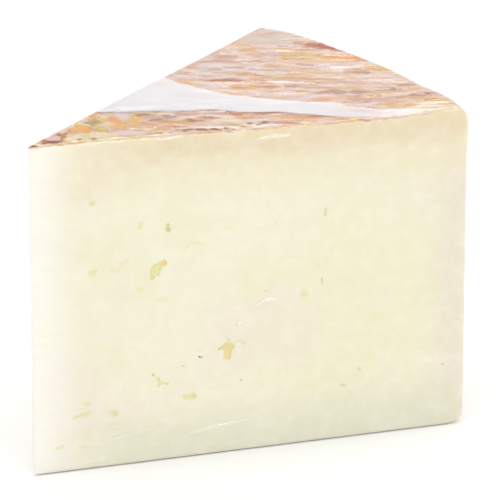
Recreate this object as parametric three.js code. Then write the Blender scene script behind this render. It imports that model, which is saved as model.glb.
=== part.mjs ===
// Wedge of a small wheel of semi-hard natural-rind cheese, in its film wrap.
// Millimetres, +Z up. The origin is the middle of the footprint, on the surface the wedge stands on.
// The front cut face runs along +X, with the wheel's centre (the tip) at the -X end and the rim at +X.
import * as THREE from 'three';

// --- driving dimensions (mm, degrees) ---
const CUT_LENGTH = 103.7;        // tip to rim along each cut face
const WEDGE_ANGLE_DEG = 42.07;   // between the two cut faces
const HEIGHT = 79.45;            // paste and rind at mid length
const RIM_RADIUS = 118.6;        // the rim's own curvature, slightly flatter than a true circle about the tip
const TOP_DOME = 1.31;           // how far the top rind falls away from the tip to the rim
const TOP_DOME_POWER = 1.43;
const TOP_TILT_X = -1.53;        // rise of the top over one cut length, along the front face
const TOP_TILT_Y = -0.18;        // and across it
const TOP_SHOULDER = [3.3, 5.2]; // rounding of the rim's top edge: inward, down
const BASE_SHOULDER = [4.5, 3.4]; // rounding of the rim's bottom edge: inward, up
const SHOULDER_POWER = 2.4;      // squareness of both roundings
const FILM_GAP = 0.3;            // between cheese and film
const FILM_WALL = 0.35;          // film, drawn thicker than the real sheet so that it is a solid
const FILM_OPENING = 0.2;        // share of the underside left open where the folded film ends do not meet

// --- mesh density ---
const EDGE_STEPS = 13;           // along each cut face
const RIM_STEPS = 18;            // along the rim
const TIP_STEPS = 4;             // round the film's fold at the tip
const SHOULDER_STEPS = 5;
const CAP_SCALES = [0.94, 0.82, 0.66, 0.46, 0.24];

const ALPHA = THREE.MathUtils.degToRad(WEDGE_ANGLE_DEG);
const ALONG_BACK = [Math.cos(ALPHA), Math.sin(ALPHA)];
const BACK_NORMAL = [-Math.sin(ALPHA), Math.cos(ALPHA)];
const FILM_OUT = FILM_GAP + FILM_WALL;

// The rim's centre lies on the wedge's middle line, so that both cut faces are CUT_LENGTH long.
const HALF_CHORD = CUT_LENGTH * Math.sin(ALPHA / 2);
const CENTRE_DIST = CUT_LENGTH * Math.cos(ALPHA / 2) - Math.sqrt(RIM_RADIUS ** 2 - HALF_CHORD ** 2);
const RIM_CENTRE = [CENTRE_DIST * Math.cos(ALPHA / 2), CENTRE_DIST * Math.sin(ALPHA / 2)];
const HUB = [CUT_LENGTH * 0.64 * Math.cos(ALPHA / 2), CUT_LENGTH * 0.64 * Math.sin(ALPHA / 2)]; // a point well inside the plan

// Height of the top rind, without the shoulder.
function topHeight(x, y) {
  const inward = RIM_RADIUS - Math.hypot(x - RIM_CENTRE[0], y - RIM_CENTRE[1]);
  const fall = THREE.MathUtils.clamp(1 - inward / CUT_LENGTH, 0, 1) ** TOP_DOME_POWER;
  return HEIGHT + TOP_TILT_X * (x / CUT_LENGTH - 0.5) + TOP_TILT_Y * (y / CUT_LENGTH - 0.25) - TOP_DOME * fall;
}

// Plan outline, counterclockwise from the tip, of the wedge grown by `grow` with its rim drawn in by `inset`.
function outline(grow, inset) {
  const points = [];
  const radius = RIM_RADIUS - inset + grow;
  const meet = (px, py, dx, dy) => { // where a line from p along d leaves the rim circle
    const ox = px - RIM_CENTRE[0], oy = py - RIM_CENTRE[1];
    const b = ox * dx + oy * dy;
    const t = -b + Math.sqrt(b * b - (ox * ox + oy * oy - radius * radius));
    return [px + dx * t, py + dy * t];
  };
  if (grow === 0) {
    points.push([0, 0]);
  } else {
    const from = ALPHA + Math.PI / 2, to = 1.5 * Math.PI;
    for (let i = 0; i <= TIP_STEPS; i++) {
      const a = from + (to - from) * i / TIP_STEPS;
      points.push([grow * Math.cos(a), grow * Math.sin(a)]);
    }
  }
  const frontEnd = meet(0, -grow, 1, 0);
  const backStart = [BACK_NORMAL[0] * grow, BACK_NORMAL[1] * grow];
  const backEnd = meet(backStart[0], backStart[1], ALONG_BACK[0], ALONG_BACK[1]);
  for (let i = 1; i < EDGE_STEPS; i++) {
    points.push([frontEnd[0] * i / EDGE_STEPS, -grow]);
  }
  const a0 = Math.atan2(frontEnd[1] - RIM_CENTRE[1], frontEnd[0] - RIM_CENTRE[0]);
  const a1 = Math.atan2(backEnd[1] - RIM_CENTRE[1], backEnd[0] - RIM_CENTRE[0]);
  for (let i = 0; i <= RIM_STEPS; i++) {
    const a = a0 + (a1 - a0) * i / RIM_STEPS;
    points.push([RIM_CENTRE[0] + radius * Math.cos(a), RIM_CENTRE[1] + radius * Math.sin(a)]);
  }
  for (let i = EDGE_STEPS - 1; i > 0; i--) {
    const t = i / EDGE_STEPS;
    points.push([backStart[0] + (backEnd[0] - backStart[0]) * t, backStart[1] + (backEnd[1] - backStart[1]) * t]);
  }
  return points;
}

// Rings from the underside, up the sides and in over the top, of the surface lying `grow` outside the cheese.
// `openTo` is the scale of the innermost underside ring.
function rings(grow, openTo) {
  const list = [];
  const quarter = (k) => { // 0..1 along a superellipse quarter: [share still to go inward, share risen]
    const a = k * Math.PI / 2;
    return [1 - Math.sin(a) ** (2 / SHOULDER_POWER), 1 - Math.cos(a) ** (2 / SHOULDER_POWER)];
  };
  const base = outline(grow, BASE_SHOULDER[0]);
  const shrink = (ring, s) => ring.map(([x, y]) => [HUB[0] + (x - HUB[0]) * s, HUB[1] + (y - HUB[1]) * s]);
  for (const s of [...CAP_SCALES].reverse().filter((s) => s > openTo + 0.02).concat([1])) {
    if (list.length === 0 && openTo > 0) list.push(shrink(base, openTo).map(([x, y]) => [x, y, -grow]));
    list.push(shrink(base, s).map(([x, y]) => [x, y, -grow]));
  }
  for (let k = 1; k <= SHOULDER_STEPS; k++) {
    const [inward, rise] = quarter(k / SHOULDER_STEPS);
    const z = -grow + (BASE_SHOULDER[1] + grow) * rise;
    list.push(outline(grow, BASE_SHOULDER[0] * inward).map(([x, y]) => [x, y, z]));
  }
  for (let k = 0; k <= SHOULDER_STEPS; k++) {
    const [sunk, moved] = quarter(k / SHOULDER_STEPS);
    list.push(outline(grow, TOP_SHOULDER[0] * moved)
      .map(([x, y]) => [x, y, topHeight(x, y) + grow - (TOP_SHOULDER[1] + grow) * sunk]));
  }
  const top = outline(grow, TOP_SHOULDER[0]);
  for (const s of CAP_SCALES) {
    list.push(shrink(top, s).map(([x, y]) => [x, y, topHeight(x, y) + grow]));
  }
  return list;
}

class Skin {
  constructor() { this.positions = []; this.index = []; }
  point(p) { this.positions.push(...p); return this.positions.length / 3 - 1; }
  ring(points) { return points.map((p) => this.point(p)); }
  band(lower, upper, flip) {
    const n = lower.length;
    for (let i = 0; i < n; i++) {
      const j = (i + 1) % n;
      const tris = [[lower[i], lower[j], upper[j]], [lower[i], upper[j], upper[i]]];
      for (const [a, b, c] of tris) this.index.push(...(flip ? [a, c, b] : [a, b, c]));
    }
  }
  cap(ring, centre, up) {
    const c = this.point(centre);
    for (let i = 0; i < ring.length; i++) {
      const j = (i + 1) % ring.length;
      this.index.push(...(up ? [ring[i], ring[j], c] : [ring[j], ring[i], c]));
    }
  }
  geometry() {
    const g = new THREE.BufferGeometry();
    g.setAttribute('position', new THREE.Float32BufferAttribute(this.positions, 3));
    g.setIndex(this.index);
    g.computeVertexNormals();
    return g;
  }
}

function cheeseGeometry() {
  const skin = new Skin();
  const loops = rings(0, 0).map((r) => skin.ring(r));
  for (let i = 1; i < loops.length; i++) skin.band(loops[i - 1], loops[i], false);
  skin.cap(loops[0], [HUB[0], HUB[1], 0], false);
  skin.cap(loops.at(-1), [HUB[0], HUB[1], topHeight(HUB[0], HUB[1])], true);
  return skin.geometry();
}

function filmGeometry() {
  const skin = new Skin();
  const outer = rings(FILM_OUT, FILM_OPENING).map((r) => skin.ring(r));
  const inner = rings(FILM_GAP, FILM_OPENING).map((r) => skin.ring(r));
  for (let i = 1; i < outer.length; i++) {
    skin.band(outer[i - 1], outer[i], false);
    skin.band(inner[i - 1], inner[i], true);
  }
  const z = topHeight(HUB[0], HUB[1]);
  skin.cap(outer.at(-1), [HUB[0], HUB[1], z + FILM_OUT], true);
  skin.cap(inner.at(-1), [HUB[0], HUB[1], z + FILM_GAP], false);
  skin.band(inner[0], outer[0], false); // the edge of the underside opening
  return skin.geometry();
}

const cheese = new THREE.Mesh(cheeseGeometry(),
  new THREE.MeshStandardMaterial({ color: 0xf0ead0, roughness: 0.55, metalness: 0 }));
cheese.name = 'cheese_wedge';

const film = new THREE.Mesh(filmGeometry(),
  new THREE.MeshStandardMaterial({ color: 0xf4f4f2, roughness: 0.12, metalness: 0, transparent: true, opacity: 0.2 }));
film.name = 'film_wrap';

// Centre the footprint on the origin and stand the film's underside on z = 0.
const footprint = outline(FILM_OUT, 0);
const xs = footprint.map((p) => p[0]), ys = footprint.map((p) => p[1]);
const wedge = new THREE.Group();
wedge.position.set(-(Math.min(...xs) + Math.max(...xs)) / 2, -(Math.min(...ys) + Math.max(...ys)) / 2, FILM_OUT);
wedge.add(cheese, film);

const model = new THREE.Group();
model.add(wedge);

export default model;
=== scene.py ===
import math

import bpy
import numpy as np
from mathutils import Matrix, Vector, geometry


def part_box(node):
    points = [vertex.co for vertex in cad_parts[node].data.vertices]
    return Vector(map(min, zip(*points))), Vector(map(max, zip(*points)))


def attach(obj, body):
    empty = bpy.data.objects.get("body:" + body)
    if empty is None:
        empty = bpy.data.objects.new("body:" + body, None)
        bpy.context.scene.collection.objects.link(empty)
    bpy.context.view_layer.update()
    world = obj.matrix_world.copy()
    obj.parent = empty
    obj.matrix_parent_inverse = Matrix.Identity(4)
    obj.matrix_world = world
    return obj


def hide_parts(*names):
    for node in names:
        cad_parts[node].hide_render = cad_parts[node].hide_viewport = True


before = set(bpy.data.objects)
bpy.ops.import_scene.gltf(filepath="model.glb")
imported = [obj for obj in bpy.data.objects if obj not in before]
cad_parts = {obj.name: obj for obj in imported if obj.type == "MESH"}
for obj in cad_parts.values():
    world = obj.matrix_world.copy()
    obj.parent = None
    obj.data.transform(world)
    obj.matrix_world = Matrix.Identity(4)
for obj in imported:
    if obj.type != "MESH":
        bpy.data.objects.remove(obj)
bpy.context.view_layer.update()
scene = bpy.context.scene

# ---------------------------------------------------------------- camera
TURN = math.radians(16.856)   # the camera stands this far round to the tip's side of the front cut face
DOWN = math.radians(22.045)
cam_data = bpy.data.cameras.new("camera")
cam = bpy.data.objects.new("camera", cam_data)
scene.collection.objects.link(cam)
scene.camera = cam
cam.location = (-0.30349, -1.03587, 0.47368)
cam.rotation_euler = (math.pi / 2 - DOWN, 0.0, -TURN)
cam_data.sensor_width = 36.0
cam_data.lens = 352.8
cam_data.clip_start = 0.05
cam_data.clip_end = 20.0

# ---------------------------------------------------------------- sizes, in millimetres from the cheese's tip
low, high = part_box("cheese_wedge")
TIP = np.array([low.x, low.y, low.z]) * 1000.0
CUT = (high.x - low.x) * 1000.0                      # cut length
ALPHA = math.radians(42.07)
RIM_R = CUT * 118.6 / 103.7
MID_H = 79.45
DOME, DOME_P = 1.31, 1.43
TILT_X, TILT_Y = -1.53, -0.18
TOP_SH, BASE_SH, SH_P = (3.3, 5.2), (4.5, 3.4), 2.4
HALF = ALPHA / 2
half_chord = CUT * math.sin(HALF)
centre_d = CUT * math.cos(HALF) - math.sqrt(RIM_R ** 2 - half_chord ** 2)
RC = np.array([centre_d * math.cos(HALF), centre_d * math.sin(HALF)])
BISECT = np.array([math.cos(HALF), math.sin(HALF)])
NB = np.array([-math.sin(ALPHA), math.cos(ALPHA)])   # outward normal of the back cut face
AB = np.array([math.cos(ALPHA), math.sin(ALPHA)])
INNER = 0.10                                         # the solid that roundings are struck from, outside the CAD cheese
U_DIR = np.array([math.cos(TURN), -math.sin(TURN)])  # the film's wrinkles on top run along this
V_DIR = np.array([math.sin(TURN), math.cos(TURN)])


# ---------------------------------------------------------------- noise
def _hash(ix, iy, iz, seed):
    h = (ix * 374761393 + iy * 668265263 + iz * 1442695041 + seed * 1274126177) & 0xFFFFFFFF
    h = ((h ^ (h >> 13)) * 1274126177) & 0xFFFFFFFF
    h = (h ^ (h >> 16)) & 0xFFFFFFFF
    return h.astype(np.float64) / 4294967295.0


def vnoise(p, seed=0):
    """Smooth noise from -1 to 1 at points p (n, 3)."""
    i = np.floor(p).astype(np.int64)
    f = p - i
    w = f * f * f * (f * (f * 6 - 15) + 10)
    out = 0.0
    for dx in (0, 1):
        for dy in (0, 1):
            for dz in (0, 1):
                k = ((w[:, 0] if dx else 1 - w[:, 0]) * (w[:, 1] if dy else 1 - w[:, 1])
                     * (w[:, 2] if dz else 1 - w[:, 2]))
                out = out + k * _hash(i[:, 0] + dx, i[:, 1] + dy, i[:, 2] + dz, seed)
    return out * 2 - 1


def fbm(p, size, octaves=3, seed=0, stretch=(1, 1, 1)):
    q = np.asarray(p, float) / (np.array(stretch) * size)
    total, amp, norm = 0.0, 1.0, 0.0
    for o in range(octaves):
        total = total + amp * vnoise(q * 2 ** o + 17.3 * o, seed + o)
        norm += amp
        amp *= 0.5
    return total / norm


def smooth(lo, hi, x):
    t = np.clip((x - lo) / (hi - lo), 0, 1)
    return t * t * (3 - 2 * t)


# ---------------------------------------------------------------- the wedge as curves and rows
def top_height(x, y):
    inward = RIM_R - np.hypot(x - RC[0], y - RC[1])
    fall = np.clip(1 - inward / CUT, 0, 1) ** DOME_P
    return MID_H + TILT_X * (x / CUT - 0.5) + TILT_Y * (y / CUT - 0.25) - DOME * fall


def quarter(k):
    a = k * math.pi / 2
    return 1 - math.sin(a) ** (2 / SH_P), 1 - math.cos(a) ** (2 / SH_P)


def apex(grow):
    return -BISECT * grow / math.sin(HALF)


def rim_span(grow, inset):
    """Angles about the rim's centre where the two cut planes, grown, meet the rim, and the rim's radius there."""
    radius = RIM_R - inset + grow

    def meet(p, d):
        o = p - RC
        b = o @ d
        t = -b + math.sqrt(b * b - (o @ o - radius * radius))
        q = p + d * t
        return math.atan2(q[1] - RC[1], q[0] - RC[0])
    return meet(np.array([0.0, -grow]), np.array([1.0, 0.0])), meet(NB * grow, AB), radius


def profile(grow, step, shoulder_steps):
    """Stations along the body's outline in a radial section, from the tip's top over the rim to the tip's bottom: (kind, reach 0..1, inset, height rule)."""
    rows = []
    n = max(8, int(round(CUT / step)))
    # top: rows evenly spaced in reach from the tip
    for i in range(0, n):
        rows.append(("top", i / n))
    for k in range(shoulder_steps + 1):
        sunk, moved = quarter(1 - k / shoulder_steps)
        rows.append(("tsh", (sunk, moved)))
    m = max(4, int(round(70.0 / step)))
    for i in range(1, m):
        rows.append(("rim", i / m))
    for k in range(shoulder_steps + 1):
        inward, rise = quarter(1 - k / shoulder_steps)
        rows.append(("bsh", (inward, rise)))
    for i in range(n - 1, -1, -1):
        rows.append(("bot", i / n))
    return rows


def row_points(row, t, grow):
    """Points of one row at fractions t from the front plane to the back plane, on the sharp-edged solid grown by grow, with the body's normals."""
    kind, val = row
    A = apex(grow)
    if kind in ("top", "bot"):
        inset = TOP_SH[0] if kind == "top" else BASE_SH[0]
        a0, a1, radius = rim_span(grow, inset)
        a = a0 + (a1 - a0) * t
        rim = RC + radius * np.c_[np.cos(a), np.sin(a)]
        xy = A + (rim - A) * val
    else:
        if kind == "tsh":
            inset = TOP_SH[0] * val[1]
        elif kind == "bsh":
            inset = BASE_SH[0] * val[0]
        else:
            inset = 0.0
        a0, a1, radius = rim_span(grow, inset)
        a = a0 + (a1 - a0) * t
        xy = RC + radius * np.c_[np.cos(a), np.sin(a)]
    radial = (xy - RC) / np.linalg.norm(xy - RC, axis=1)[:, None]
    th = top_height(xy[:, 0], xy[:, 1])
    zero = np.zeros(len(xy))
    if kind == "top":
        z = th + grow
        e = 0.05
        nx = -(top_height(xy[:, 0] + e, xy[:, 1]) - th) / e
        ny = -(top_height(xy[:, 0], xy[:, 1] + e) - th) / e
        nrm = np.c_[nx, ny, zero + 1]
    elif kind == "bot":
        z = zero - grow
        nrm = np.c_[zero, zero, zero - 1]
    elif kind == "tsh":
        z = th + grow - (TOP_SH[1] + grow) * val[0]
        cz = max(1 - val[0], 0.0) ** (SH_P - 1) / TOP_SH[1]
        cr = max(1 - val[1], 0.0) ** (SH_P - 1) / TOP_SH[0]
        nrm = np.c_[radial * cr, zero + cz]
    elif kind == "bsh":
        z = zero - grow + (BASE_SH[1] + grow) * val[1]
        cz = max(1 - val[1], 0.0) ** (SH_P - 1) / BASE_SH[1]
        cr = max(1 - val[0], 0.0) ** (SH_P - 1) / BASE_SH[0]
        nrm = np.c_[radial * cr, zero - cz]
    else:
        ztop = th + grow - (TOP_SH[1] + grow)
        zbot = BASE_SH[1]
        z = ztop + (zbot - ztop) * val
        nrm = np.c_[radial, zero]
    nrm = nrm / np.linalg.norm(nrm, axis=1)[:, None]
    return np.c_[xy, z], nrm


def cone_excess(xy, g0):
    """Vector from the nearest point of the plan wedge with planes at g0 to each point outside it."""
    A = apex(g0)
    rel = xy - A
    front = np.array([1.0, 0.0])
    sf, sb = rel @ front, rel @ AB
    df = -(rel[:, 1])                 # outside the front plane
    db = rel @ NB                     # outside the back plane
    foot_f = np.c_[sf, np.zeros(len(sf))]
    foot_b = sb[:, None] * AB
    out = np.zeros_like(rel)
    of, ob = df > 1e-9, db > 1e-9
    near_f = of & (sf > 0)
    near_b = ob & (sb > 0) & ~near_f
    both = of & ob & (sf > 0) & (sb > 0)
    # where both planes are passed, the nearer foot that lies on the wedge wins
    use_b = both & (df < db)
    out[near_f] = (rel - foot_f)[near_f]
    out[near_b | use_b] = (rel - foot_b)[near_b | use_b]
    at_apex = (of & (sf <= 0)) & (sb <= 0) | (ob & (sb <= 0) & (sf <= 0))
    out[at_apex] = rel[at_apex]
    left = (of & (sf <= 0) & ~at_apex) & ~(ob & (sb > 0))
    out[left] = rel[left]
    return out


def rounded(p, body_n, body_e, grow, radius_min=0.0):
    """Moves points of the sharp-edged solid onto the one whose edges are rounded by grow - INNER, and gives its smooth normals."""
    r = grow - INNER
    h = cone_excess(p[:, :2], INNER)
    vec = np.c_[h, np.zeros(len(h))] + body_n * body_e[:, None]
    length = np.linalg.norm(vec, axis=1)[:, None]
    n = vec / np.maximum(length, 1e-9)
    return p - vec + n * r, n


class Pool:
    def __init__(self):
        self.pos, self.nrm, self.kind, self.faces, self.fkind = [], [], [], [], []

    def add(self, pos, nrm, kind):
        start = sum(len(x) for x in self.pos)
        self.pos.append(pos)
        self.nrm.append(nrm)
        self.kind.append(np.full(len(pos), kind))
        return list(range(start, start + len(pos)))

    def done(self):
        return np.concatenate(self.pos), np.concatenate(self.nrm), np.concatenate(self.kind)


def zipper(a, b, faces, ta, tb):
    """Triangles between two rows of vertex ids with fractions ta, tb."""
    i = j = 0
    while i < len(a) - 1 or j < len(b) - 1:
        if j == len(b) - 1 or (i < len(a) - 1 and ta[i + 1] <= tb[j + 1]):
            faces.append((a[i], b[j], a[i + 1]))
            i += 1
        else:
            faces.append((a[i], b[j], b[j + 1]))
            j += 1


def build(grow, row_step, across, shoulder_steps, tip_step, cut_points, hole=0.0):
    """The wedge grown by grow as one closed triangle mesh with rounded edges. across(kind, reach) is the spacing along a row, cut_points(side) gives extra plan points (s, z) for a cut face."""
    r = grow - INNER
    pool = Pool()
    rows = profile(grow, row_step, shoulder_steps)
    ids, ts = [], []
    span = rim_span(grow, 0)
    rim_len = (span[1] - span[0]) * span[2]
    for k, row in enumerate(rows):
        reach = row[1] if row[0] in ("top", "bot") else 1.0
        if row[0] in ("top", "bot") and row[1] == 0:
            t = np.array([0.5])
        else:
            n = max(1, int(round(rim_len * reach / across(row[0], reach))))
            t = np.linspace(0, 1, n + 1)
        p, nb = row_points(row, t, grow)
        q, n = rounded(p, nb, np.full(len(p), r), grow)
        ids.append(pool.add(q, n, {"top": 1, "tsh": 2, "rim": 3, "bsh": 4, "bot": 5}[row[0]]))
        ts.append(t)
    body = []
    for k in range(len(rows) - 1):
        zipper(ids[k], ids[k + 1], body, ts[k], ts[k + 1])
    # tip edge
    top_p, bot_p = row_points(rows[0], np.array([0.5]), grow)[0][0], row_points(rows[-1], np.array([0.5]), grow)[0][0]
    m = int(round((top_p[2] - bot_p[2]) / tip_step))
    zs = np.linspace(top_p[2], bot_p[2], m + 1)[1:-1]
    # body excess near the ends of the tip edge
    def end_excess(z, x, y):
        th = top_height(x, y) + INNER
        e = np.where(z > th, z - th, 0.0)
        e = e + np.where(z < -INNER, -INNER - z, 0.0)
        sgn = np.where(z > 10, 1.0, -1.0)
        return e, np.c_[np.zeros(len(z)), np.zeros(len(z)), sgn]
    tip_xy = np.tile(apex(grow), (len(zs), 1))
    e, nb = end_excess(zs, tip_xy[:, 0], tip_xy[:, 1])
    q, n = rounded(np.c_[tip_xy, zs], nb, e, grow)
    tip_ids = [ids[0][0]] + pool.add(q, n, 6) + [ids[-1][0]]
    tip_z = np.r_[top_p[2], zs, bot_p[2]]
    sides = []
    for side in (0, 1):
        end = 0 if side == 0 else -1
        bids = [r_[end] for r_ in ids]
        bp = np.array([row_points(rows[k], ts[k][[end]], grow)[0][0] for k in range(len(rows))])
        along = np.array([1.0, 0.0]) if side == 0 else AB
        base = np.array([0.0, -grow]) if side == 0 else NB * grow
        s = (bp[:, :2] - base) @ along
        loop = [(s[k], bp[k, 2]) for k in range(len(rows))]
        loop_ids = list(bids)
        s_tip = float((apex(grow) - base) @ along)
        for z, i in zip(tip_z[-2:0:-1], tip_ids[-2:0:-1]):
            loop.append((s_tip, z))
            loop_ids.append(i)
        inner_pts = cut_points(side)
        # two rows just inside the outline end the rounding; other interior points keep clear of them
        lp = np.array(loop)
        seg_a, seg_b = lp, np.roll(lp, -1, axis=0)
        dist, _ = boundary_distance(inner_pts, seg_a, seg_b)
        inner_pts = inner_pts[dist > r * 1.45]
        run = np.roll(lp, -1, axis=0) - np.roll(lp, 1, axis=0)
        inward = np.c_[-run[:, 1], run[:, 0]] / np.maximum(np.linalg.norm(run, axis=1), 1e-9)[:, None]
        if ((lp.mean(axis=0) - lp) * inward).sum() < 0:
            inward = -inward
        for part in (0.45, 1.0):
            ring = lp + inward * r * part
            dist, _ = boundary_distance(ring, seg_a, seg_b)
            inner_pts = np.concatenate([inner_pts, ring[dist > r * part * 0.93]])
        xy = base + inner_pts[:, :1] * along
        p = np.c_[xy, inner_pts[:, 1]]
        # nearest body boundary only, not the tip edge, counts as the body's excess
        lb = np.array([(s[k], bp[k, 2]) for k in range(len(rows))])
        db, nb2 = boundary_distance(inner_pts, lb[:-1], lb[1:])
        nb3 = np.c_[nb2[:, :1] * along, nb2[:, 1]]
        q, n = rounded(p, nb3, np.clip(r - db, 0, None), grow)
        new = pool.add(q, n, 7 + side)
        verts = [Vector(v) for v in loop] + [Vector(v) for v in inner_pts.tolist()]
        nl = len(loop)
        edges = [(i, (i + 1) % nl) for i in range(nl)]
        out = geometry.delaunay_2d_cdt(verts, edges, [], 1, 1e-5, True)
        cv, cf, orig = out[0], out[2], out[3]
        all_ids = loop_ids + new
        glob = [all_ids[o[0]] for o in orig]
        tris = []
        for f in cf:
            a, b, c = f[0], f[1], f[2]
            area = (cv[b] - cv[a]).cross(cv[c] - cv[a])
            if area < 0:
                b, c = c, b
            if side == 1:
                b, c = c, b
            tris.append((glob[a], glob[b], glob[c]))
        sides.append(tris)
    pos, nrm, kind = pool.done()
    return pos, nrm, kind, rows, ids, ts, body, sides


def boundary_distance(pts, a, b):
    """Distance from each point to the nearest segment, and the unit vector from the point towards it."""
    best = np.full(len(pts), 1e9)
    vec = np.zeros((len(pts), 2))
    for i in range(len(a)):
        d = b[i] - a[i]
        l2 = d @ d
        if l2 < 1e-12:
            continue
        t = np.clip(((pts - a[i]) @ d) / l2, 0, 1)
        v = a[i] + t[:, None] * d - pts
        dist = np.hypot(v[:, 0], v[:, 1])
        m = dist < best
        best[m] = dist[m]
        vec[m] = v[m]
    return best, vec / np.maximum(best, 1e-9)[:, None]


def jitter_grid(s0, s1, z0, z1, step, seed, amount=0.25):
    rng = np.random.RandomState(seed)
    ns, nz = int((s1 - s0) / step), int((z1 - z0) / step)
    g = np.stack(np.meshgrid(s0 + (np.arange(ns) + 0.5) * step, z0 + (np.arange(nz) + 0.5) * step), -1).reshape(-1, 2)
    g[:, 0] += (np.arange(len(g)) // ns % 2) * step * 0.5 - step * 0.25
    return g + rng.uniform(-amount, amount, g.shape) * step


def inside_face(pts, grow):
    """Points well inside the cut face, in (distance along it, height)."""
    s, z = pts[:, 0], pts[:, 1]
    t = CUT + grow
    ok = (s > -grow / math.tan(HALF) + 0.05) & (s < t - 0.1) & (z > -grow + 0.1)
    ok &= z < top_height(s, 0 * s) + grow - 0.15
    # shoulders
    for (w, h), zc, up in ((TOP_SH, top_height(s, 0 * s) - TOP_SH[1], 1), (BASE_SH, BASE_SH[1], -1)):
        w2, h2 = w + 0.0, h + grow
        ds = (s - (t - w2)) / w2
        dz = up * (z - zc) / h2
        corner = (ds > 0) & (dz > 0)
        ok &= ~(corner & (np.abs(ds) ** SH_P + np.abs(dz) ** SH_P > 0.93))
    return pts[ok]


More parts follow.
